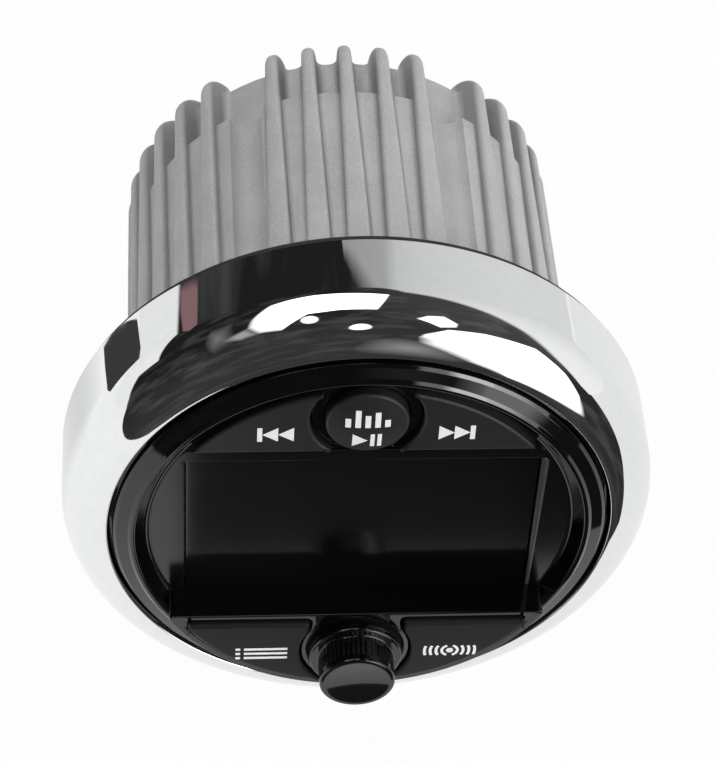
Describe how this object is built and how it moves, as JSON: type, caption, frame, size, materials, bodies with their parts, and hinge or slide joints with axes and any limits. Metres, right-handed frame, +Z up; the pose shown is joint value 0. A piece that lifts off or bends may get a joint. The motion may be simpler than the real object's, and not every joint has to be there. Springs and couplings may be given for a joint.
{
  "type": "marine stereo",
  "caption": "Round dash-mounted boat stereo: chrome ring, gloss black face with display, soft keys and a push knob, on a finned cast body that fits a gauge hole.",
  "frame": {"origin": "on the body's axis, in the plane of the dash, at the gasket's rear face", "axes": "+Y along the axis into the dash, +Z up, so the face looks to -Y"},
  "size_m": [0.1094, 0.1069, 0.1094],
  "materials": {
    "chrome": "bright plated ring, mirror polish",
    "gloss_face": "piano black moulding",
    "smoked_window": "smoked window, dark when off",
    "key_rubber": "satin black keys with white signs",
    "cast_alloy": "blasted casting, grainy with sparkle",
    "black_plastic": "black moulding",
    "pale_plastic": "off-white moulding",
    "seal_rubber": "black rubber",
    "display_glass": "display panel",
    "board": "green circuit board",
    "steel": "plated steel",
    "brass": "plated brass",
    "blue_sleeve": "capacitor sleeve",
    "copper_winding": "enamelled copper winding"
  },
  "bodies": {
    "chassis": {"bezel_ring": "chrome", "face_plate": "gloss_face", "display_lens": "smoked_window", "lcd_panel": "display_glass", "lcd_light_guide": "pale_plastic", "lcd_frame": "pale_plastic", "front_board": "board", "front_board_screws": "steel", "key_switches": "black_plastic", "encoder_body": "steel", "encoder_bush": "brass", "encoder_nut": "steel", "flange_plate": "black_plastic", "dash_gasket": "seal_rubber", "housing_seal": "seal_rubber", "face_screws": "steel", "heat_sink_housing": "cast_alloy", "case_screws": "steel", "main_board": "board", "main_board_screws": "steel", "amplifier_chip": "black_plastic", "thermal_pad": "pale_plastic", "clamp_bar": "steel", "clamp_screws": "steel", "reservoir_capacitors": "blue_sleeve", "choke": "copper_winding", "tuner_can": "steel", "processor_chip": "black_plastic", "wireless_module": "steel", "ribbon_cable": "pale_plastic", "ribbon_sockets": "pale_plastic", "harness_header": "pale_plastic", "cable_gland": "seal_rubber", "antenna_socket": "steel", "antenna_nut": "steel"},
    "play_key": {"play_button": "key_rubber", "play_stem": "pale_plastic"},
    "skip_back_key": {"skip_back_button": "key_rubber", "skip_back_stem": "pale_plastic"},
    "skip_forward_key": {"skip_forward_button": "key_rubber", "skip_forward_stem": "pale_plastic"},
    "source_key": {"source_button": "key_rubber", "source_stem": "pale_plastic"},
    "band_key": {"band_button": "key_rubber", "band_stem": "pale_plastic"},
    "knob_pusher": {"encoder_plunger": "pale_plastic"},
    "knob": {"volume_knob": "gloss_face", "encoder_shaft": "steel"}
  },
  "joints": [
    {"name": "play_press", "type": "slide", "parent": "chassis", "child": "play_key", "axis": [0, 1, 0], "range_m": [0, 0.0008], "stiffness_N_per_m": 1000, "springref_m": -0.001},
    {"name": "skip_back_press", "type": "slide", "parent": "chassis", "child": "skip_back_key", "axis": [0, 1, 0], "range_m": [0, 0.0008], "stiffness_N_per_m": 1000, "springref_m": -0.001},
    {"name": "skip_forward_press", "type": "slide", "parent": "chassis", "child": "skip_forward_key", "axis": [0, 1, 0], "range_m": [0, 0.0008], "stiffness_N_per_m": 1000, "springref_m": -0.001},
    {"name": "source_press", "type": "slide", "parent": "chassis", "child": "source_key", "axis": [0, 1, 0], "range_m": [0, 0.0008], "stiffness_N_per_m": 1000, "springref_m": -0.001},
    {"name": "band_press", "type": "slide", "parent": "chassis", "child": "band_key", "axis": [0, 1, 0], "range_m": [0, 0.0008], "stiffness_N_per_m": 1000, "springref_m": -0.001},
    {"name": "knob_press", "type": "slide", "parent": "chassis", "child": "knob_pusher", "axis": [0, 1, 0], "range_m": [0, 0.0005], "stiffness_N_per_m": 4000, "springref_m": -0.0005},
    {"name": "knob_turn", "type": "hinge", "parent": "knob_pusher", "child": "knob", "pos_m": [0, -0.0282, -0.0283], "axis": [0, -1, 0], "continuous": true}
  ]
}
